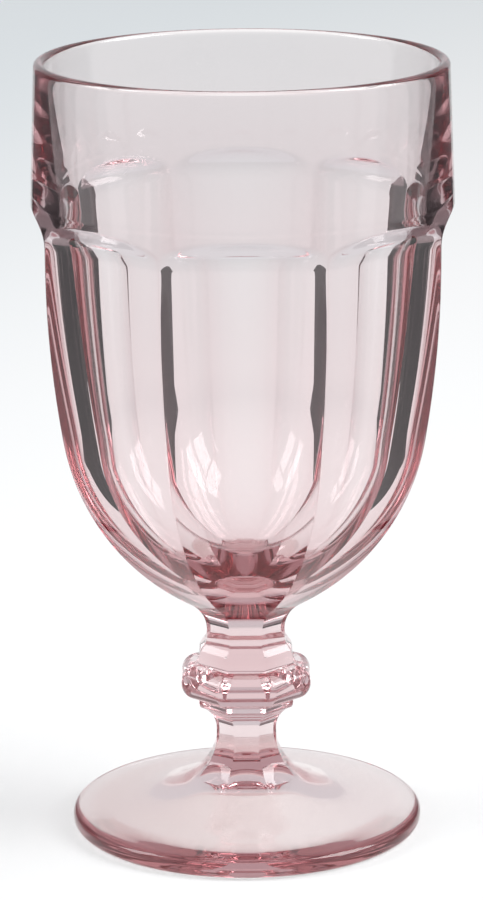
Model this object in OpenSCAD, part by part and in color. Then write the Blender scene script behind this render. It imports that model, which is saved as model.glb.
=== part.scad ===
// Stemmed iced tea glass in pressed glass: a bowl with eight scooped panels under a plain
// round band, an octagonal stem with a knop, and a round foot. The three are fused face to face.
// Frame: origin at the middle of the ring it stands on, +Z up, one panel faces -Y. Millimetres.

/* [Whole glass] */
// Flat panels round the bowl and the stem, an even number
panels = 8; // [6:2:12]

/* [Bowl] */
// Height from the stem joint to the rim
bowl_h = 128.6; // [115:0.2:150]
// Outside radius at the rim
rim_r = 45.4; // [42:0.1:49]
// Thickness of the rounded lip
lip_t = 2.4; // [1.6:0.1:3.6]
// Outside radius at the lower edge of the band
band_r = 46.45; // [43:0.05:50]
// Height of the plain band, from its lower edge to the rim
band_h = 30; // [20:0.5:40]
// Step from the band out to the shoulder, the line that the mould ring leaves
band_step = 0.05; // [0.02:0.01:0.5]
// How far the ridges between panels lie inside the shoulder
ridge_inset = 0.1; // [0.05:0.05:0.6]
// Radius of the scoop that ends each panel in an arch
scoop_r = 8; // [6:0.2:14]
// Distance from the band's lower edge down to the start of the scoop
scoop_drop = 8.5; // [6:0.1:13]
// Straight length of a panel between the scoop and its gentle curve
panel_flat = 2; // [0:0.1:8]
// Radius of a panel's gentle curve below the scoop
flank_r = 260; // [200:5:320]
// Angle that the gentle curve turns through before the belly starts
flank_sweep = 9.1; // [6:0.1:11]
// Radius of the cove where the bowl runs into the neck
neck_cove_r = 7.1; // [4:0.1:10]
// Glass below the cavity, from the stem joint up
base_t = 15.4; // [12:0.2:22]
// How far the round nose of the cavity stays inside the top of the belly
belly_wall = 5.1; // [2:0.1:8]
// Radius of the cavity's gentle curve from the nose up to the lip
cheek_r = 500; // [300:10:1500]

/* [Stem] */
// Height from the foot joint to the bowl joint
stem_h = 35; // [32:0.2:44]
// Half the width across flats of the neck under the bowl
neck_r = 8.75; // [7:0.05:10]
// Straight length of that neck below the bowl joint
neck_l = 3; // [1:0.1:5]
// Half the width across flats of the two collars beside the knop
collar_r = 10.6; // [10:0.1:12.5]
// Height of the slope from the upper collar in to the neck
collar_slope_h = 2.6; // [1.2:0.1:4]
// Height of the upper collar
upper_collar_h = 2.6; // [1.5:0.1:4]
// Height of the lower collar
lower_collar_h = 2; // [1:0.1:4]
// Radius of the knop's rounded rib
knop_r = 4; // [3:0.1:5]
// Half the width across flats of the waist, the thinnest place
waist_r = 6.75; // [5.5:0.05:8]
// Angle that the cove under the lower collar turns through
under_sweep = 72; // [55:1:85]
// Straight length of the waist
waist_l = 2; // [1:0.1:4]
// Radius of the cove below the waist
flare_r = 12.1; // [9:0.1:14]
// Angle of the flare from upright where it meets the foot
flare_angle = 38; // [30:1:45]
// Height that the round pad at the foot climbs inside the flare
pad_climb = 4.3; // [3:0.1:6]

/* [Foot] */
// Outside radius of the foot
foot_r = 39.6; // [35:0.1:46]
// Thickness of the foot at its rounded edge
edge_t = 4.3; // [3:0.1:6]
// Radius of the rounding along the edge
edge_round = 1.9; // [1:0.1:2.5]
// Fall of the foot's top towards the edge, in degrees
brim_fall = 6; // [3:0.5:9]
// Height that the sweep up to the stem adds above the line of the foot's top
pad_rise = 4.45; // [2:0.05:6]
// Angle of the sweep where it meets the stem, from level
pad_angle = 35.5; // [26:0.5:45]
// Width of the flat ring that it stands on
ring_w = 6.7; // [4:0.1:10]
// Radius of the sweep from the ring up into the hollow under the foot
hollow_r = 40; // [30:0.5:46]
// Angle that this sweep turns through before the hollow rounds over
hollow_angle = 30; // [24:0.5:32]

/* [Hidden] */
$fn = 96;
glass_tint = "#e6cfd2";
arc_tol = 0.015;
over = 2;
// The most of the foot edge that one rounding may take
round_share = 0.45;
panel_turn = 360 / panels;
to_ridge = 1 / cos(panel_turn / 2);

// Points of an arc from angle a to angle b, spaced so that no chord leaves it by more than arc_tol
function arc(centre, radius, a, b) =
    let (steps = max(2, ceil(abs(b - a) / (2 * acos(1 - arc_tol / radius)))))
    [for (i = [0:steps]) let (t = a + (b - a) * i / steps) centre + radius * [cos(t), sin(t)]];

// Bowl heights and radii, measured from the stem joint
band_z = bowl_h - band_h;
scoop_z = band_z - scoop_drop;
flank_z = scoop_z - panel_flat;
shoulder_r = band_r + band_step;
panel_r = (shoulder_r - ridge_inset) / to_ridge;
scoop_top_r = shoulder_r + over;
scoop_sweep = acos(1 - (scoop_top_r - panel_r) / scoop_r);
flank_end = [panel_r - flank_r * (1 - cos(flank_sweep)), flank_z - flank_r * sin(flank_sweep)];

// The belly is the arc that leaves the flank smoothly and runs smoothly into the neck's cove
cove_centre = [neck_r + neck_cove_r, 0];
flank_normal = [cos(flank_sweep), -sin(flank_sweep)];
to_flank = flank_end - cove_centre;
belly_r = (to_flank * to_flank - neck_cove_r ^ 2) / (2 * (to_flank * flank_normal + neck_cove_r));
belly_centre = flank_end - belly_r * flank_normal;
belly_run = cove_centre - belly_centre;
belly_end = atan2(belly_run.y, belly_run.x);

// The cavity is a round nose and a gentle curve that leaves it smoothly and runs up to the lip
lip_r = lip_t / 2;
lip_z = bowl_h - lip_r;
nose_r = flank_end.x - belly_wall;
nose_centre = [0, base_t + nose_r];
mouth = [rim_r - lip_t, lip_z] - nose_centre;
mouth_far = norm(mouth);
to_mouth = mouth / mouth_far;
cheek_off = cheek_r - nose_r;
cheek_along = (cheek_off ^ 2 - cheek_r ^ 2 + mouth_far ^ 2) / (2 * mouth_far);
cheek_aside = sqrt(cheek_off ^ 2 - cheek_along ^ 2);
to_cheek = cheek_along * to_mouth + cheek_aside * [-to_mouth.y, to_mouth.x];
cheek_centre = nose_centre + to_cheek;
cheek_end = asin((lip_z - cheek_centre.y) / cheek_r);
nose_end = atan2(-to_cheek.y, -to_cheek.x);

// Stem heights, stacked down from the bowl joint
collar_top_z = stem_h - neck_l - collar_slope_h;
knop_z = collar_top_z - upper_collar_h - knop_r;
collar_foot_z = knop_z - knop_r - lower_collar_h;
under_r = (collar_r - waist_r) / (1 - cos(under_sweep));
waist_top_z = collar_foot_z - under_r * sin(under_sweep);
waist_z = waist_top_z - waist_l;
flare_start = [waist_r + flare_r * (1 - cos(flare_angle)), waist_z - flare_r * sin(flare_angle)];
flare_foot_r = flare_start.x + flare_start.y * tan(flare_angle);
pad_r = flare_foot_r * to_ridge + ridge_inset;

// Foot heights
edge_r = min(edge_round, edge_t * round_share);
brim_end = [foot_r - edge_r * (1 - sin(brim_fall)), edge_t];
foot_h = edge_t + (brim_end.x - pad_r) * tan(brim_fall) + pad_rise;
sweep_run = sin(pad_angle) - sin(brim_fall);
sweep_drop = cos(brim_fall) - cos(pad_angle);
sweep_r = pad_rise / (sweep_drop - sweep_run * tan(brim_fall));
sweep_centre = [pad_r + sweep_r * sin(pad_angle), foot_h + sweep_r * cos(pad_angle)];
ring_r = foot_r - edge_r - ring_w;
hollow_nose_r = ring_r / sin(hollow_angle) - hollow_r;
hollow_h = (hollow_r + hollow_nose_r) * (1 - cos(hollow_angle));

// Half outline of the bowl across two opposite panels, from the neck up
bowl_outline = concat(
    arc(cove_centre, neck_cove_r, 180, 180 + belly_end),
    arc(belly_centre, belly_r, belly_end, -flank_sweep),
    arc([panel_r - flank_r, flank_z], flank_r, -flank_sweep, 0),
    arc([panel_r + scoop_r, scoop_z], scoop_r, 180, 180 - scoop_sweep),
    [[scoop_top_r, bowl_h + over]]
);

// Half section of the round blank: band, lip and cavity
blank_outline = concat(
    [[0, -over], [shoulder_r, -over], [shoulder_r, band_z], [band_r, band_z]],
    arc([rim_r - lip_r, lip_z], lip_r, 0, 180),
    arc(cheek_centre, cheek_r, cheek_end, nose_end),
    arc(nose_centre, nose_r, nose_end, -90)
);

// Half outline of the stem across two opposite flats, from the foot up
stem_outline = concat(
    [[flare_foot_r, 0]],
    arc([waist_r + flare_r, waist_z], flare_r, 180 + flare_angle, 180),
    arc([waist_r + under_r, waist_top_z], under_r, 180, 180 - under_sweep),
    arc([collar_r, knop_z], knop_r, -90, 90),
    [[collar_r, collar_top_z], [neck_r, stem_h - neck_l], [neck_r, stem_h]]
);

// Half section of the round pad that the flare runs out on
pad_outline = [[0, 0], [pad_r, 0], [waist_r - ridge_inset, pad_climb], [0, pad_climb]];

// Half section of the foot
foot_outline = concat(
    [[ring_r, 0]],
    arc([foot_r - edge_r, edge_r], edge_r, -90, 0),
    arc([foot_r - edge_r, edge_t - edge_r * cos(brim_fall)], edge_r, 0, 90 - brim_fall),
    arc(sweep_centre, sweep_r, 270 - brim_fall, 270 - pad_angle),
    [[0, foot_h]],
    arc([0, hollow_h - hollow_nose_r], hollow_nose_r, 90, 90 - hollow_angle),
    arc([ring_r, hollow_r], hollow_r, 270 - hollow_angle, 270)
);

function both_sides(outline) =
    concat(outline, [for (i = [len(outline) - 1:-1:0]) [-outline[i].x, outline[i].y]]);

// A solid with one flat-sided bay for each panel: as many slabs as pairs of panels, crossed
module panelled(outline, reach) {
    intersection_for (i = [0:panels / 2 - 1])
        rotate(i * panel_turn)
            rotate([90, 0, 0])
                linear_extrude(height = 2 * reach, center = true)
                    polygon(both_sides(outline));
}

module bowl() {
    color(glass_tint)
        translate([0, 0, foot_h + stem_h])
            intersection() {
                panelled(bowl_outline, 2 * shoulder_r);
                rotate_extrude() polygon(blank_outline);
            }
}

module stem() {
    color(glass_tint)
        translate([0, 0, foot_h]) {
            panelled(stem_outline, 2 * pad_r);
            rotate_extrude() polygon(pad_outline);
        }
}

module foot() {
    color(glass_tint)
        rotate_extrude() polygon(foot_outline);
}

bowl();
stem();
foot();
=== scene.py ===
# %% [markdown]
# A stemmed iced tea glass, pressed in pale pink glass. The bowl has eight scooped panels under
# a plain round band, the stem is an octagon with a knop, and the foot is a round disc. This
# lesson models the three pieces by hand in Blender, from the table up, in the frame that the
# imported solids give. Then it spends its effort on the glass itself: its tint, its edges and
# what it mirrors.

# %% Load the frame and keep its box
import math

import bpy
import numpy as np
from mathutils import Euler, Matrix, Vector


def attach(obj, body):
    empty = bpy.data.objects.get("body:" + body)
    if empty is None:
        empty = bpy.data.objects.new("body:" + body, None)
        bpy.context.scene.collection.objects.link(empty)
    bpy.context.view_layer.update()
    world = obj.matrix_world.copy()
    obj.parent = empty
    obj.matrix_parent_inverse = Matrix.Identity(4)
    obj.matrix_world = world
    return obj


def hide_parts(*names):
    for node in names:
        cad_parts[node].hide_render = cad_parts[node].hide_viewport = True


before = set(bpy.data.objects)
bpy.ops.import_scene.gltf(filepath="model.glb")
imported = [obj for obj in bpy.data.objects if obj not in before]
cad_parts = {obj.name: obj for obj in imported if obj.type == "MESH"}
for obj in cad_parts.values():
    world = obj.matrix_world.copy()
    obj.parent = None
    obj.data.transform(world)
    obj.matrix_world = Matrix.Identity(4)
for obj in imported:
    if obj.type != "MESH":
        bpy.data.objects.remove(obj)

MM = 0.001
scene = bpy.context.scene
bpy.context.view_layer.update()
bpy.ops.object.select_all(action="DESELECT")

# %% [markdown]
# The camera comes first, because every other choice is judged through it. The photograph was
# taken from a little above the rim with a long lens, which keeps the rim's ellipse narrow and
# the sides nearly parallel. The frame is tall, so the lens angle belongs to its height.

# %% Camera
CAMERA_PLACE = (-0.00065, -0.8338, 0.3049)
CAMERA_TILT, CAMERA_ROLL = 75.36, -0.42
CAMERA_LENS, SENSOR = 154.48, 36

lens = bpy.data.cameras.new("camera")
lens.sensor_width = SENSOR
lens.lens = CAMERA_LENS
lens.clip_start = 0.01
lens.clip_end = 100
camera = bpy.data.objects.new("camera", lens)
scene.collection.objects.link(camera)
tilt = Euler((math.radians(CAMERA_TILT), 0, 0)).to_matrix()
roll = Matrix.Rotation(math.radians(CAMERA_ROLL), 3, "Z")
camera.rotation_euler = (tilt @ roll).to_euler()
camera.location = CAMERA_PLACE
scene.camera = camera
print("camera", CAMERA_LENS, "mm lens,", round(camera.location.length, 3), "m away")

# %% [markdown]
# A mould maker draws a glass as a half outline of arcs and straight runs, in millimetres and
# degrees. Blender could hold that as a Bezier curve, but its handles only come near to an arc.
# Points on true arcs are used instead, so that the visible glass fills the solids.

# %% Tools for outlines
SAME_POINT = 1e-6


def sin(angle):
    return math.sin(math.radians(angle))


def cos(angle):
    return math.cos(math.radians(angle))


def tan(angle):
    return math.tan(math.radians(angle))


def arc(centre, radius, start, end, steps):
    """Points on an arc, in mm, from one angle to another in degrees."""
    turn = np.radians(np.linspace(start, end, steps + 1))
    return [(centre[0] + radius * np.cos(t), centre[1] + radius * np.sin(t)) for t in turn]


def line(start, end, steps):
    """Points on a straight run, in mm."""
    return [tuple(p) for p in np.linspace(start, end, steps + 1)]


def path(*runs):
    """Joins runs of points and leaves out a point that repeats the last one."""
    points = []
    for run in runs:
        for point in run:
            if not points or math.dist(points[-1], point) > SAME_POINT:
                points.append((float(point[0]), float(point[1])))
    return points


print("outlines are made of arc, line and path")

# %% [markdown]
# A lathe shape in Blender starts as one point that is extruded along the outline and is then
# spun about the upright axis. A Screw modifier on the outline would do as well. The spin was
# chosen because its columns are plain vertices, which the panels then push about.

# %% Tools for the lathe
PANELS = 8
COLUMNS = 40 * PANELS
WELD = 2e-6


def pick(piece):
    """Makes piece the active object and the only one that is selected."""
    bpy.ops.object.select_all(action="DESELECT")
    piece.select_set(True)
    bpy.context.view_layer.objects.active = piece


def draw(name, points):
    """A chain of edges through points, drawn in the XZ plane by extruding one vertex."""
    bpy.ops.object.select_all(action="DESELECT")
    bpy.ops.mesh.primitive_plane_add(size=MM)
    piece = bpy.context.object
    piece.name = name
    piece.data.name = name
    starts = [(0.0, 0.0)] + points[:-1]
    moves = [((r - r0) * MM, 0, (z - z0) * MM) for (r, z), (r0, z0) in zip(points, starts)]
    bpy.ops.object.mode_set(mode="EDIT")
    bpy.ops.mesh.select_all(action="SELECT")
    bpy.ops.mesh.merge(type="CENTER")
    bpy.ops.transform.translate(value=moves[0])
    for move in moves[1:]:
        bpy.ops.mesh.extrude_vertices_move(TRANSFORM_OT_translate={"value": move})
    bpy.ops.object.mode_set(mode="OBJECT")
    return piece


def weld():
    """Closes seams and poles of the mesh in Edit Mode and turns its faces outwards."""
    bpy.ops.mesh.select_all(action="SELECT")
    bpy.ops.mesh.remove_doubles(threshold=WELD)
    bpy.ops.mesh.normals_make_consistent(inside=False)


def lathe(piece):
    """Spins the drawn outline once round the upright axis."""
    pick(piece)
    bpy.ops.object.mode_set(mode="EDIT")
    bpy.ops.mesh.select_all(action="SELECT")
    bpy.ops.mesh.spin(steps=COLUMNS, angle=2 * math.pi, center=(0, 0, 0), axis=(0, 0, 1))
    weld()
    bpy.ops.object.mode_set(mode="OBJECT")


print("lathe", COLUMNS, "columns")

# %% [markdown]
# The mould presses eight flats into the round gob. Boolean cuts would give flats too, but with
# sharp edges and a ragged mesh. A ridge between two flats is never sharp on a real glass, since
# the fire polish rounds it, so the pressed section is an octagon with small rounded corners.

# %% Section of the panels
HALF_TURN = 180 / PANELS
TO_RIDGE = 1 / cos(HALF_TURN)
CORNER_SHARE = 0.4
TINY = 1e-9


def from_ridge(turn):
    """The angle from the nearest ridge, in degrees, with the ridge's own angle."""
    ridge = (np.floor(turn / (2 * HALF_TURN)) + 0.5) * 2 * HALF_TURN
    return turn - ridge, ridge


def octagon(flat_r, turn, corner_r):
    """Radius of an octagon with rounded corners, whose flats are flat_r from the axis."""
    corner_r = np.minimum(corner_r, CORNER_SHARE * flat_r)
    off = np.radians(np.abs(from_ridge(turn)[0]))
    half = math.radians(HALF_TURN)
    hub = (flat_r - corner_r) * TO_RIDGE
    touch = half - np.arctan((flat_r - corner_r) * math.tan(half) / np.maximum(flat_r, TINY))
    flat = flat_r / np.cos(half - off)
    inside = np.maximum(corner_r**2 - (hub * np.sin(off)) ** 2, 0)
    corner = hub * np.cos(off) + np.sqrt(inside)
    return np.where(off < touch, corner, flat)


def soft_least(a, b, blend):
    """The smaller of two radii, with a rounding where they cross."""
    share = np.clip(0.5 + 0.5 * (b - a) / blend, 0, 1)
    return b + (a - b) * share - blend * share * (1 - share)


print("ridge to ridge", 2 * HALF_TURN, "degrees")

# %% [markdown]
# The section is then pressed into a lathe shape: each vertex keeps its height and moves to the
# radius that the section gives for its angle. Even columns would miss the narrow roundings, and
# more of them would make a heavy mesh, so the columns are gathered near the ridges instead.

# %% Tools for pressing
GATHER = 0.92
SHARP_ANGLE = 30


def gathered(turn):
    """The angle that an evenly spun column moves to."""
    off, ridge = from_ridge(turn)
    share = off / HALF_TURN
    return ridge + HALF_TURN * ((1 - GATHER) * share + GATHER * share**3)


def press(piece, shape, lift):
    """Moves every vertex to the radius that shape gives for its radius, angle and height."""
    count = len(piece.data.vertices)
    spots = np.empty(3 * count)
    piece.data.vertices.foreach_get("co", spots)
    spots = spots.reshape(count, 3)
    radius = np.hypot(spots[:, 0], spots[:, 1]) / MM
    turn = gathered(np.degrees(np.arctan2(spots[:, 1], spots[:, 0])))
    radius = shape(radius, turn, spots[:, 2] / MM)
    spots[:, 0] = radius * np.cos(np.radians(turn)) * MM
    spots[:, 1] = radius * np.sin(np.radians(turn)) * MM
    spots[:, 2] += lift * MM
    piece.data.vertices.foreach_set("co", spots.ravel())
    piece.data.update()


def round_shape(radius, turn, z):
    """A section without panels."""
    return radius


def smooth(piece):
    """Smooth shading that keeps an edge only where two faces meet at a real corner."""
    pick(piece)
    bpy.ops.object.shade_smooth_by_angle(angle=math.radians(SHARP_ANGLE))


print("columns stand", round(1 / (1 - GATHER), 1), "times as close at the ridges")

# %% [markdown]
# The stem is pressed in the same mould as the bowl, so its flats stand under the panels. A
# knop is a swelling that a hand can feel and hold: here a half-round rib between two collars.
# The heights are stacked down from the bowl joint, so that each part rests on the next. They
# come before the foot, because the foot has to carry the round pad that ends the stem.

# %% Measures of the stem
STEM_H, NECK_R, NECK_L = 35, 8.75, 3
COLLAR_R, COLLAR_SLOPE_H = 10.6, 2.6
UPPER_COLLAR_H, LOWER_COLLAR_H, KNOP_R = 2.6, 2, 4
WAIST_R, UNDER_SWEEP, WAIST_L = 6.75, 72, 2
FLARE_R, FLARE_ANGLE, PAD_CLIMB = 12.1, 38, 4.3
RIDGE_INSET = 0.1

COLLAR_TOP_Z = STEM_H - NECK_L - COLLAR_SLOPE_H
KNOP_Z = COLLAR_TOP_Z - UPPER_COLLAR_H - KNOP_R
COLLAR_FOOT_Z = KNOP_Z - KNOP_R - LOWER_COLLAR_H
UNDER_R = (COLLAR_R - WAIST_R) / (1 - cos(UNDER_SWEEP))
WAIST_TOP_Z = COLLAR_FOOT_Z - UNDER_R * sin(UNDER_SWEEP)
WAIST_Z = WAIST_TOP_Z - WAIST_L
FLARE_START = (WAIST_R + FLARE_R * (1 - cos(FLARE_ANGLE)), WAIST_Z - FLARE_R * sin(FLARE_ANGLE))
FLARE_FOOT_R = FLARE_START[0] + FLARE_START[1] * tan(FLARE_ANGLE)
PAD_R = FLARE_FOOT_R * TO_RIDGE + RIDGE_INSET
print("stem", STEM_H, "mm high, on a pad", round(2 * PAD_R, 1), "mm across")

# %% [markdown]
# The foot is a plain lathe shape: a flat ring to stand on, a shallow hollow inside the ring,
# a rounded edge, and a top that climbs to the stem in one sweep. A flattened cylinder with
# bevels would look alike from afar. The outline was chosen because light runs along inside the
# foot, and the edge then shows every wrong radius.

# %% Measures of the foot
FOOT_R, EDGE_T, EDGE_ROUND = 39.6, 4.3, 1.9
BRIM_FALL, PAD_RISE, PAD_ANGLE = 6, 4.45, 35.5
RING_W, HOLLOW_R, HOLLOW_ANGLE = 6.7, 40, 30
ROUND_SHARE = 0.45

EDGE_R = min(EDGE_ROUND, EDGE_T * ROUND_SHARE)
BRIM_END_R = FOOT_R - EDGE_R * (1 - sin(BRIM_FALL))
FOOT_H = EDGE_T + (BRIM_END_R - PAD_R) * tan(BRIM_FALL) + PAD_RISE
SWEEP_RUN = sin(PAD_ANGLE) - sin(BRIM_FALL)
SWEEP_DROP = cos(BRIM_FALL) - cos(PAD_ANGLE)
SWEEP_R = PAD_RISE / (SWEEP_DROP - SWEEP_RUN * tan(BRIM_FALL))
SWEEP_CENTRE = (PAD_R + SWEEP_R * sin(PAD_ANGLE), FOOT_H + SWEEP_R * cos(PAD_ANGLE))
SWEEP_START = (SWEEP_CENTRE[0] - SWEEP_R * sin(BRIM_FALL), SWEEP_CENTRE[1] - SWEEP_R * cos(BRIM_FALL))
RING_R = FOOT_R - EDGE_R - RING_W
HOLLOW_NOSE_R = RING_R / sin(HOLLOW_ANGLE) - HOLLOW_R
HOLLOW_H = (HOLLOW_R + HOLLOW_NOSE_R) * (1 - cos(HOLLOW_ANGLE))
print("foot", round(FOOT_H, 2), "mm high, hollow", round(HOLLOW_H, 2), "mm deep")

# %% Foot
foot_line = path(
    arc((0, HOLLOW_H - HOLLOW_NOSE_R), HOLLOW_NOSE_R, 90, 90 - HOLLOW_ANGLE, 10),
    arc((RING_R, HOLLOW_R), HOLLOW_R, 270 - HOLLOW_ANGLE, 270, 16),
    line((RING_R, 0), (FOOT_R - EDGE_R, 0), 4),
    arc((FOOT_R - EDGE_R, EDGE_R), EDGE_R, -90, 0, 10),
    arc((FOOT_R - EDGE_R, EDGE_T - EDGE_R * cos(BRIM_FALL)), EDGE_R, 0, 90 - BRIM_FALL, 10),
    line((BRIM_END_R, EDGE_T), SWEEP_START, 12),
    arc(SWEEP_CENTRE, SWEEP_R, 270 - BRIM_FALL, 270 - PAD_ANGLE, 12),
    [(0, FOOT_H)],
)
foot = draw("glass_foot", foot_line)
lathe(foot)
press(foot, round_shape, 0)
smooth(foot)
print("foot", len(foot.data.polygons), "faces")

# %% [markdown]
# Now the stem itself. Low down the flats flare out and die away on the round pad, so there the
# larger of the two radii wins. The corners of the collars are soft on a fire-polished glass.
# A Bevel modifier would have to find them on the finished mesh, among the ridges, so they are
# bevelled as vertices of the outline, before the spin. The outline stops a hundredth of a
# millimetre short of each joint, so that no two pieces share a surface.

# %% Outline of the stem
JOINT_GAP = 0.012
COLLAR_SOFT, KNOP_SOFT = 1.1, 0.6
CORNER_REACH = 0.01

stem_line = path(
    [(0, JOINT_GAP)],
    line((FLARE_FOOT_R, JOINT_GAP), FLARE_START, 12),
    arc((WAIST_R + FLARE_R, WAIST_Z), FLARE_R, 180 + FLARE_ANGLE, 180, 14),
    line((WAIST_R, WAIST_Z), (WAIST_R, WAIST_TOP_Z), 3),
    arc((WAIST_R + UNDER_R, WAIST_TOP_Z), UNDER_R, 180, 180 - UNDER_SWEEP, 12),
    arc((COLLAR_R, KNOP_Z), KNOP_R, -90, 90, 20),
    [(COLLAR_R, COLLAR_TOP_Z), (NECK_R, STEM_H - NECK_L), (NECK_R, STEM_H - JOINT_GAP)],
    [(0, STEM_H - JOINT_GAP)],
)


def soften(piece, corners, width, segments):
    """Bevels the outline's vertices that lie at the given corners, in mm."""
    pick(piece)
    for edge in piece.data.edges:
        edge.select = False
    for vertex in piece.data.vertices:
        spot = (vertex.co.x / MM, vertex.co.z / MM)
        vertex.select = any(math.dist(spot, corner) < CORNER_REACH for corner in corners)
    bpy.ops.object.mode_set(mode="EDIT")
    bpy.ops.mesh.select_mode(type="VERT")
    bpy.ops.mesh.bevel(offset=width * MM, segments=segments, affect="VERTICES")
    bpy.ops.object.mode_set(mode="OBJECT")


stem = draw("glass_stem", stem_line)
soften(stem, [(COLLAR_R, COLLAR_FOOT_Z)], COLLAR_SOFT, 5)
soften(stem, [(COLLAR_R, COLLAR_TOP_Z), (NECK_R, STEM_H - NECK_L)], COLLAR_SOFT, 5)
soften(stem, [(COLLAR_R, KNOP_Z + KNOP_R), (COLLAR_R, KNOP_Z - KNOP_R)], KNOP_SOFT, 6)
print("stem outline", len(stem_line), "points, softened to", len(stem.data.vertices))

# %% Stem
STEM_RIDGE_R, KNOP_RIDGE_R = 0.3, 2.6
PAD_BLEND, PAD_BLEND_RISE, PAD_BLEND_LEAST = 0.9, 3, 0.02


def stem_shape(radius, turn, z):
    """Flats all the way up, apart from the round pad that they run out on."""
    bulge = np.clip(1 - ((z - KNOP_Z) / KNOP_R) ** 2, 0, 1)
    flats = octagon(radius, turn, STEM_RIDGE_R + (KNOP_RIDGE_R - STEM_RIDGE_R) * bulge)
    pad = PAD_R + (WAIST_R - RIDGE_INSET - PAD_R) * z / PAD_CLIMB
    blend = PAD_BLEND * np.clip(z / PAD_BLEND_RISE, PAD_BLEND_LEAST, 1)
    joined = -soft_least(-flats, -pad, blend)
    low = (z < PAD_CLIMB) & (radius > 0.5 * WAIST_R)
    return np.where(low, joined, flats)


lathe(stem)
press(stem, stem_shape, FOOT_H)
smooth(stem)
print("stem", len(stem.data.polygons), "faces")

# %% [markdown]
# The bowl is one wall with two different skins. The mould gives the outside its panels, and
# the plunger, which is round, gives the inside. One skin with a Solidify modifier would have
# panels inside too, so the skins are modelled apart and joined at the lip. On the outside, the
# belly is the arc that leaves the flank smoothly and runs smoothly into the neck's cove.

# %% Measures of the bowl
BOWL_H, RIM_R, LIP_T = 128.6, 45.4, 2.4
BAND_R, BAND_H, BAND_STEP = 46.45, 30, 0.05
SCOOP_R, SCOOP_DROP, PANEL_FLAT = 8, 8.5, 2
FLANK_R, FLANK_SWEEP, NECK_COVE_R = 260, 9.1, 7.1

NECK_Z = FOOT_H + STEM_H
BAND_Z = BOWL_H - BAND_H
SCOOP_Z = BAND_Z - SCOOP_DROP
FLANK_Z = SCOOP_Z - PANEL_FLAT
SHOULDER_R = BAND_R + BAND_STEP
PANEL_R = (SHOULDER_R - RIDGE_INSET) / TO_RIDGE
FLANK_END = np.array([
    PANEL_R - FLANK_R * (1 - cos(FLANK_SWEEP)),
    FLANK_Z - FLANK_R * sin(FLANK_SWEEP),
])
COVE_CENTRE = np.array([NECK_R + NECK_COVE_R, 0])
FLANK_NORMAL = np.array([cos(FLANK_SWEEP), -sin(FLANK_SWEEP)])
TO_FLANK = FLANK_END - COVE_CENTRE
BELLY_R = (TO_FLANK @ TO_FLANK - NECK_COVE_R**2) / (2 * (TO_FLANK @ FLANK_NORMAL + NECK_COVE_R))
BELLY_CENTRE = FLANK_END - BELLY_R * FLANK_NORMAL
BELLY_RUN = COVE_CENTRE - BELLY_CENTRE
BELLY_END = math.degrees(math.atan2(BELLY_RUN[1], BELLY_RUN[0]))
LIP_R = LIP_T / 2
LIP_Z = BOWL_H - LIP_R
print("bowl from", round(NECK_Z, 2), "to", round(NECK_Z + BOWL_H, 2), "mm, belly radius", round(BELLY_R, 2))

# %% [markdown]
# Each panel ends at the top in a scoop, and where the scoop runs out of the round shoulder it
# draws an arch. The arch isn't modelled as a line. It appears by itself where the pressed
# section grows past the shoulder, and the smaller radius wins with a soft rounding.

# %% Outer skin of the bowl
NECK_RIDGE_R, BOWL_RIDGE_R = 0.3, 0.6
ARCH_BLEND = 0.7
STEP_SOFT, BAND_START = 0.5, 1
# The cove leaves out this part of a degree, and so its first row lies at the joint gap
JOINT_TURN = 0.1


def scoop_row(z):
    """Point of the scoop at a height, both in mm."""
    return (PANEL_R + SCOOP_R - math.sqrt(max(SCOOP_R**2 - (z - SCOOP_Z) ** 2, 0)), z)


def bowl_shape(radius, turn, z):
    """Panels below the band, and the round band and lip above it."""
    corner = NECK_RIDGE_R + (BOWL_RIDGE_R - NECK_RIDGE_R) * np.clip(z / FLANK_END[1], 0, 1)
    pressed = octagon(radius, turn, corner)
    panel = soft_least(np.full_like(z, SHOULDER_R), pressed, ARCH_BLEND)
    return np.where(z < BAND_Z - 0.5 * STEP_SOFT, panel, radius)


outer_line = path(
    [(0, JOINT_GAP)],
    arc(COVE_CENTRE, NECK_COVE_R, 180 - JOINT_TURN, 180 + BELLY_END, 14),
    arc(BELLY_CENTRE, BELLY_R, BELLY_END, -FLANK_SWEEP, 44),
    arc((PANEL_R - FLANK_R, FLANK_Z), FLANK_R, -FLANK_SWEEP, 0, 22),
    line((PANEL_R, FLANK_Z), (PANEL_R, SCOOP_Z), 2),
    [scoop_row(z) for z in np.linspace(SCOOP_Z, BAND_Z - STEP_SOFT, 40)],
    line((BAND_R, BAND_Z), (BAND_R, BAND_Z + STEP_SOFT), 2),
    line((BAND_R, BAND_Z + BAND_START), (RIM_R, LIP_Z), 22),
    arc((RIM_R - LIP_R, LIP_Z), LIP_R, 0, 90, 8),
)
bowl = draw("glass_bowl", outer_line)
lathe(bowl)
press(bowl, bowl_shape, NECK_Z)
print("outer skin", len(outer_line), "rows,", len(bowl.data.polygons), "faces")

# %% [markdown]
# The cavity is a round nose, and a gentle curve that leaves the nose smoothly and runs up to
# the lip. Its depth and taper set how thick the glass is, which nobody can see from outside.
# It was chosen by the lines that the glass bends: they only fall in the right places when the
# wall is right.

# %% Measures of the cavity
BASE_T, BELLY_WALL, CHEEK_R = 15.4, 5.1, 500

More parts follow.
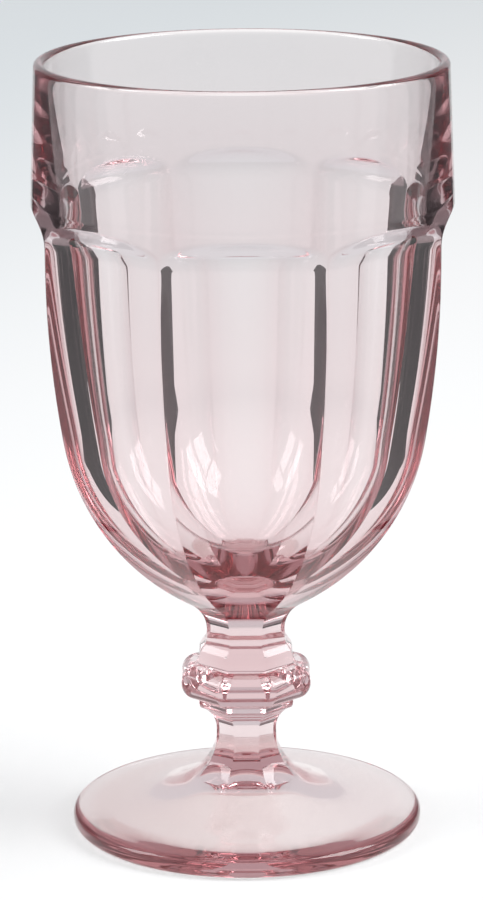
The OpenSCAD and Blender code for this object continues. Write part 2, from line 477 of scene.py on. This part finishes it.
NOSE_R = FLANK_END[0] - BELLY_WALL
NOSE_CENTRE = np.array([0, BASE_T + NOSE_R])
MOUTH = np.array([RIM_R - LIP_T, LIP_Z]) - NOSE_CENTRE
MOUTH_FAR = math.hypot(*MOUTH)
TO_MOUTH = MOUTH / MOUTH_FAR
BESIDE_MOUTH = np.array([-TO_MOUTH[1], TO_MOUTH[0]])
CHEEK_OFF = CHEEK_R - NOSE_R
CHEEK_ALONG = (CHEEK_OFF**2 - CHEEK_R**2 + MOUTH_FAR**2) / (2 * MOUTH_FAR)
CHEEK_ASIDE = math.sqrt(CHEEK_OFF**2 - CHEEK_ALONG**2)
CHEEK_CENTRE = NOSE_CENTRE + CHEEK_ALONG * TO_MOUTH + CHEEK_ASIDE * BESIDE_MOUTH
NOSE_END = math.degrees(math.atan2(*(NOSE_CENTRE - CHEEK_CENTRE)[::-1]))
CHEEK_END = math.degrees(math.asin((LIP_Z - CHEEK_CENTRE[1]) / CHEEK_R))
print("cavity nose radius", round(NOSE_R, 2), "mm, up to", round(NOSE_END, 1), "degrees")

# %% Inner skin of the bowl
inner_line = path(
    arc((RIM_R - LIP_R, LIP_Z), LIP_R, 90, 180, 8),
    arc(CHEEK_CENTRE, CHEEK_R, CHEEK_END, NOSE_END, 30),
    arc(NOSE_CENTRE, NOSE_R, NOSE_END, -90, 40),
)
cavity = draw("glass_cavity", inner_line)
lathe(cavity)
press(cavity, round_shape, NECK_Z)

pick(bowl)
cavity.select_set(True)
bpy.ops.object.join()
bpy.ops.object.mode_set(mode="EDIT")
weld()
bpy.ops.object.mode_set(mode="OBJECT")
smooth(bowl)
print("bowl", len(bowl.data.polygons), "faces")

# %% [markdown]
# The three pieces were one gob of glass, so no light turns aside where they meet. The faces on
# a joint could be deleted, but a tint inside the glass needs closed pieces. So they are marked
# with an attribute instead, and the glass shows nothing there.

# %% Mark the joint faces and hand the pieces to the frame
LEVEL_LEAST, JOINT_REACH = 0.999, 0.05

for piece, node in ((bowl, "bowl"), (stem, "stem"), (foot, "foot")):
    mesh = piece.data
    centres = np.empty(3 * len(mesh.polygons))
    mesh.polygons.foreach_get("center", centres)
    heights = centres.reshape(-1, 3)[:, 2] / MM
    sides = np.empty(3 * len(mesh.polygons))
    mesh.polygons.foreach_get("normal", sides)
    level = np.abs(sides.reshape(-1, 3)[:, 2]) > LEVEL_LEAST
    near = np.minimum(np.abs(heights - FOOT_H), np.abs(heights - NECK_Z)) < JOINT_REACH
    joint = mesh.attributes.new("joint", "FLOAT", "FACE")
    joint.data.foreach_set("value", (level & near).astype(float))
    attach(piece, "root")
    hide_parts(node)
    print(node, int((level & near).sum()), "joint faces")


# %% [markdown]
# Shader maths reads best as plain expressions, so one small class wraps a socket and turns
# the operators into Math nodes. Every other node comes from its one method.

# %% Shader expressions
class Wire:
    """A socket of a node tree that takes part in Python expressions."""

    def __init__(self, tree, socket=None):
        self.tree = tree
        self.socket = socket

    def node(self, kind, settings=None, output=0, **values):
        """Adds a node, sets its settings, then its sockets by name, and gives one output."""
        made = self.tree.nodes.new(kind)
        for name, value in (settings or {}).items():
            setattr(made, name, value)
        for name, value in values.items():
            key = int(name[1:]) if name[0] == "_" else name.replace("_", " ")
            if isinstance(value, Wire):
                self.tree.links.new(value.socket, made.inputs[key])
            else:
                made.inputs[key].default_value = value
        return Wire(self.tree, made.outputs[output])

    def maths(self, operation, *terms):
        values = {f"_{i}": term for i, term in enumerate(terms)}
        return self.node("ShaderNodeMath", {"operation": operation}, **values)

    def __add__(self, other):
        return self.maths("ADD", self, other)

    def __radd__(self, other):
        return self.maths("ADD", other, self)

    def __sub__(self, other):
        return self.maths("SUBTRACT", self, other)

    def __rsub__(self, other):
        return self.maths("SUBTRACT", other, self)

    def __mul__(self, other):
        return self.maths("MULTIPLY", self, other)

    def __rmul__(self, other):
        return self.maths("MULTIPLY", other, self)


def new_material(name):
    """An empty material with its output node, as a Wire to build from."""
    material = bpy.data.materials.new(name)
    material.use_nodes = True
    material.node_tree.nodes.clear()
    out = material.node_tree.nodes.new("ShaderNodeOutputMaterial")
    return material, Wire(material.node_tree), out


print("shader expressions ready")

# %% [markdown]
# Pink glass is coloured through and through. A pink surface would tint thick and thin glass
# alike, so the tint is an absorption inside instead: thin walls look nearly clear, and the
# thick base looks rose. The surface itself is clear and very smooth, with the faint swell that
# a pressing leaves and a few dull spots where a hand has touched it.

# %% Pink glass
GLASS_IOR = 1.52
TINT, TINT_DENSITY = (0.62, 0.18, 0.22, 1), 27
SWELL_STRENGTH, SWELL_DEPTH = 0.05, 0.0008
DULL_LEVEL, DULL_BLUR = 0.62, 0.04

glass, wire, out = new_material("pink_pressed_glass")
place = wire.node("ShaderNodeTexCoord", output=3)
swell = wire.node("ShaderNodeTexNoise", Vector=place, Scale=38, Detail=1.5, Roughness=0.4)
grease = wire.node("ShaderNodeTexNoise", Vector=place, Scale=160, Detail=4, Roughness=0.6)
joint = wire.node("ShaderNodeAttribute", {"attribute_name": "joint"}, output=2)
relief = wire.node("ShaderNodeBump", Height=swell, Strength=SWELL_STRENGTH, Distance=SWELL_DEPTH)
body = wire.node(
    "ShaderNodeBsdfPrincipled",
    Base_Color=(1, 1, 1, 1),
    Roughness=wire.maths("MAXIMUM", DULL_BLUR * (grease - DULL_LEVEL), 0),
    IOR=GLASS_IOR,
    Transmission_Weight=1,
    Alpha=1 - joint,
    Normal=relief,
)
inside = wire.node("ShaderNodeVolumeAbsorption", Color=TINT, Density=TINT_DENSITY)
wire.tree.links.new(body.socket, out.inputs["Surface"])
wire.tree.links.new(inside.socket, out.inputs["Volume"])
for piece in (bowl, stem, foot):
    piece.data.materials.clear()
    piece.data.materials.append(glass)
print("glass", len(glass.node_tree.nodes), "nodes")

# %% [markdown]
# The glass stands on a white table, with painted shade that fades it to a cool grey far behind.
# A curved backdrop is the usual way, but the camera looks down enough for one wide plane. It is
# lowered by a tenth of a millimetre, so that the foot's ring and the table never share a surface.

# %% Floor
FLOOR_R = 6
FLOOR_GAP = 0.0001

bpy.ops.object.select_all(action="DESELECT")
bpy.ops.mesh.primitive_grid_add(x_subdivisions=8, y_subdivisions=8, size=2 * FLOOR_R)
floor = bpy.context.object
floor.name = "floor"
bpy.ops.object.mode_set(mode="EDIT")
bpy.ops.transform.translate(value=(0, 0, -FLOOR_GAP))
bpy.ops.object.mode_set(mode="OBJECT")
print("floor", 2 * FLOOR_R, "m wide")

# %% [markdown]
# The table has two tones, both with painted shade. The camera sees white that fades into grey,
# sooner at the left: painted shade for light that falls off far behind. Rays that have met the
# glass see a table that turns grey nearer by, painted shade for a dimmer room behind, which gives
# the clear glass its body. Under the foot they see pink light, where light falls that has come
# through the glass, with painted shadow towards the left. Cycles could find that light by itself,
# but only with far more samples, so it is painted.

# %% Tones of the table
WHITE = (1, 1, 1, 1)
# Painted shade: the table greys far behind, and sooner at the left
FAR_SHADE, NEAR_R, FAR_R = (0.89, 0.925, 0.945, 1), 0.35, 1.45
SIDE_PULL = 2.4
# Painted shade seen only through the glass: the table greys nearer by
BACK_SHADE, BACK_NEAR_R, BACK_FAR_R = (0.76, 0.77, 0.78, 1), 0.22, 0.52
# Painted light under the foot, pink from the glass, with painted shadow that darkens it to the left
UNDER_LEFT, UNDER_RIGHT = (0.81, 0.7, 0.68, 1), (0.99, 0.94, 0.925, 1)
UNDER_RIGHT_X = 0.01
UNDER_NEAR_R, UNDER_FAR_R = 0.034, 0.042


def ramp(value, low, high, ease="LINEAR"):
    """A number that goes from 0 to 1 while value goes from low to high."""
    settings = {"interpolation_type": ease}
    return value.node("ShaderNodeMapRange", settings, Value=value, From_Min=low, From_Max=high)


def mixed(share, first, second):
    """The first colour where share is 0, and the second where it is 1."""
    settings = {"data_type": "RGBA"}
    return share.node("ShaderNodeMix", settings, output=2, _0=share, _6=first, _7=second)


paper, wire, out = new_material("white_table")
place = wire.node("ShaderNodeTexCoord", output=3)
reach = wire.node("ShaderNodeVectorMath", {"operation": "LENGTH"}, output=1, _0=place)
across = wire.node("ShaderNodeSeparateXYZ", Vector=place)
# Painted shade on the table: white near the glass, greying far behind and sooner at the left
tone = mixed(ramp(reach - SIDE_PULL * across, NEAR_R, FAR_R, "SMOOTHSTEP"), WHITE, FAR_SHADE)
# Painted shadow under the foot: darker towards the left
under_tone = mixed(ramp(across, -FOOT_R * MM, UNDER_RIGHT_X), UNDER_LEFT, UNDER_RIGHT)
near_tone = mixed(ramp(reach, UNDER_NEAR_R, UNDER_FAR_R), under_tone, WHITE)
# Painted shade for rays that have met the glass: the table turns grey nearer by
back_tone = mixed(ramp(reach, BACK_NEAR_R, BACK_FAR_R, "SMOOTHSTEP"), near_tone, BACK_SHADE)
print("table tones", len(paper.node_tree.nodes), "nodes")

# %% [markdown]
# A matt white table under soft light comes out grey, and more light would bleach the glass. So
# a share of the table shines by itself, as white as it is written, and the rest stays matt and
# keeps the shadow. Rays that have met the glass see more of the shining share.

# %% Shine of the table
SHINE_SHARE, BACK_SHARE = 0.4, 0.8


def met_glass(wire):
    """1 for a ray that was mirrored or let through by the glass, and 0 for any other."""
    mirrored = wire.node("ShaderNodeLightPath", output="Is Glossy Ray")
    through = wire.node("ShaderNodeLightPath", output="Is Transmission Ray")
    return wire.maths("MINIMUM", mirrored + through, 1)


from_camera = wire.node("ShaderNodeLightPath", output="Is Camera Ray")
glassy = met_glass(wire)
matt = wire.node("ShaderNodeBsdfDiffuse", Color=tone)
shine = wire.node("ShaderNodeEmission", Color=mixed(glassy, tone, back_tone), Strength=1)
share = SHINE_SHARE * from_camera + BACK_SHARE * glassy
both = wire.node("ShaderNodeMixShader", _0=share, _1=matt, _2=shine)
wire.tree.links.new(both.socket, out.inputs["Surface"])
floor.data.materials.append(paper)
print("table", len(paper.node_tree.nodes), "nodes")

# %% [markdown]
# The light is plain and soft. A pale room fills in from everywhere: a picture of a real room
# would put strange shapes into the glass, so it has one even tone, brighter to rays that have
# met the glass than as a light.

# %% Room
ROOM_LIGHT, ROOM_SHOWN = 0.54, 0.8
ROOM_TONE = (0.94, 0.97, 1, 1)

world = bpy.data.worlds.new("pale_room")
world.use_nodes = True
world.node_tree.nodes.clear()
wire = Wire(world.node_tree)
lit = wire.node("ShaderNodeBackground", Color=ROOM_TONE, Strength=ROOM_LIGHT)
seen = wire.node("ShaderNodeBackground", Color=ROOM_TONE, Strength=ROOM_SHOWN)
air = wire.node("ShaderNodeMixShader", _0=met_glass(wire), _1=lit, _2=seen)
out = world.node_tree.nodes.new("ShaderNodeOutputWorld")
world.node_tree.links.new(air.socket, out.inputs["Surface"])
scene.world = world
print("room", ROOM_LIGHT, "as light,", ROOM_SHOWN, "as seen through the glass")

# %% [markdown]
# Two large lamp boxes hang high at the left and the right. They draw the bright flames low in
# the bowl and the white patches on the collar. The right box is larger and stronger, so the
# shadow of the foot falls to the left.

# %% Lamps
LAMP_AIM = (0, 0, 0.1)


def soft_box(name, place, size, power):
    """A large lamp at place that faces the glass."""
    lamp = bpy.data.lights.new(name, "AREA")
    lamp.shape = "RECTANGLE"
    lamp.size, lamp.size_y = size
    lamp.energy = power
    box = bpy.data.objects.new(name, lamp)
    box.location = place
    facing = Vector(LAMP_AIM) - Vector(place)
    box.rotation_euler = facing.to_track_quat("-Z", "Y").to_euler()
    scene.collection.objects.link(box)
    return box


soft_box("left_box", place=(-0.85, -0.06, 0.72), size=(0.36, 0.62), power=3.4)
soft_box("right_box", place=(0.85, -0.12, 0.82), size=(0.6, 0.76), power=9.5)

# %% [markdown]
# Clear glass on white needs something dark to show its edges. Dark cards lie and stand behind the
# glass at both sides, just outside the frame, as a photographer's would. They are hidden from the
# camera, from bounced light and from shadows, so only the glass sees them: dark sheets that put
# the shade of the dark room beside the set into the glass, which bends them into the dark lines of
# its shape. Where a card lies it is black. Where it stands it is painted a warmer grey, as painted
# light for the more light that it catches. The front stays open, so that the pale room fills the
# rest.

# %% Felt of the cards
CARD_FOOT, CARD_GREY_Z = 0.001, 0.03
LYING_TONE = (0.035, 0.03, 0.032, 1)
# Painted light: the standing part is painted lighter, for the light that it catches
STANDING_LIT_TONE = (0.27, 0.21, 0.22, 1)

felt, wire, out = new_material("black_felt")
place = wire.node("ShaderNodeTexCoord", output=3)
nap = wire.node("ShaderNodeTexNoise", Vector=place, Scale=300, Detail=3)
height = wire.node("ShaderNodeSeparateXYZ", output=2, Vector=place)
# Painted light: lighter where the card stands, darker where it lies
height_lit_tone = mixed(ramp(height, CARD_FOOT, CARD_GREY_Z), LYING_TONE, STANDING_LIT_TONE)
cloth = wire.node("ShaderNodeBsdfDiffuse", Color=height_lit_tone, Roughness=0.5 * nap)
wire.tree.links.new(cloth.socket, out.inputs["Surface"])
print("felt", len(felt.node_tree.nodes), "nodes")

# %% [markdown]
# A card is a strip with one fold, spun part of the way round the glass. Its near edge is then
# cut along a slant behind the glass and straight beside it, and its standing end ramps up from
# both sides, because a square corner would show as a dark spot where the stem meets the foot.

# %% Cards
CARD_R, CARD_H, CARD_DRAWN_R = 0.75, 0.37, 0.1
CARD_START, CARD_END, CARD_STEPS = 21.5, 74, 32
CARD_SIDE = 0.158
CARD_NOSE, CARD_SLANT = (0.085, 0.025), (0.06, 0.165)
CARD_RAMP, CARD_LEAST = 14, 0.05


def card_lip(turn):
    """Reach of a card's near edge at an angle from straight behind the glass."""
    slant = CARD_NOSE[0] * CARD_SLANT[1] - CARD_NOSE[1] * CARD_SLANT[0]
    return min(slant / (CARD_SLANT[1] * sin(turn) - CARD_SLANT[0] * cos(turn)), CARD_SIDE / sin(turn))


def card(name, start, end):
    """A card that lies on the table and stands up at its far end, unseen by the camera."""
    near, far = CARD_DRAWN_R / MM, CARD_R / MM
    low, high = CARD_FOOT / MM, CARD_H / MM
    sheet = draw(name, [(near, low), (far, low), (far, high)])
    bpy.ops.object.mode_set(mode="EDIT")
    bpy.ops.mesh.select_all(action="SELECT")
    sweep = math.radians(start - end)
    bpy.ops.mesh.spin(steps=CARD_STEPS, angle=sweep, center=(0, 0, 0), axis=(0, 0, 1))
    bpy.ops.mesh.select_all(action="SELECT")
    bpy.ops.transform.rotate(value=-math.radians(start), orient_axis="Z", center_override=(0, 0, 0))
    bpy.ops.object.mode_set(mode="OBJECT")
    for vertex in sheet.data.vertices:
        turn = abs(math.degrees(math.atan2(vertex.co.x, vertex.co.y)))
        if math.hypot(vertex.co.x, vertex.co.y) < 0.5 * CARD_R:
            vertex.co.xy *= card_lip(turn) / CARD_DRAWN_R
        if vertex.co.z > 0.5 * CARD_H:
            climb = min(turn - CARD_START, CARD_END - turn) / CARD_RAMP
            vertex.co.z *= min(max(climb, CARD_LEAST), 1)
    sheet.data.materials.append(felt)
    sheet.visible_camera = False
    sheet.visible_diffuse = False
    sheet.visible_shadow = False
    return sheet


# Dark cards that only the glass sees: painted shade of the dark room beside the set
card("card_right", 90 - CARD_END, 90 - CARD_START)
card("card_left", 90 + CARD_START, 90 + CARD_END)

# %% [markdown]
# Light bounces many times inside thick glass before it leaves. A path that is cut off too soon
# turns grey or black, and the rose edges of the band and the foot are lost, so the limits are
# set high. The denoiser looks at the colours alone, because behind glass its other hints show
# only the front surface.

# %% Picture settings
BOUNCES, MIRROR_BOUNCES = 48, 32

scene.view_settings.view_transform = "Standard"
scene.cycles.max_bounces = BOUNCES
scene.cycles.transmission_bounces = BOUNCES
scene.cycles.transparent_max_bounces = BOUNCES
scene.cycles.glossy_bounces = MIRROR_BOUNCES
scene.cycles.denoising_input_passes = "RGB"
print("bounces", scene.cycles.max_bounces, "of which mirrored", scene.cycles.glossy_bounces)
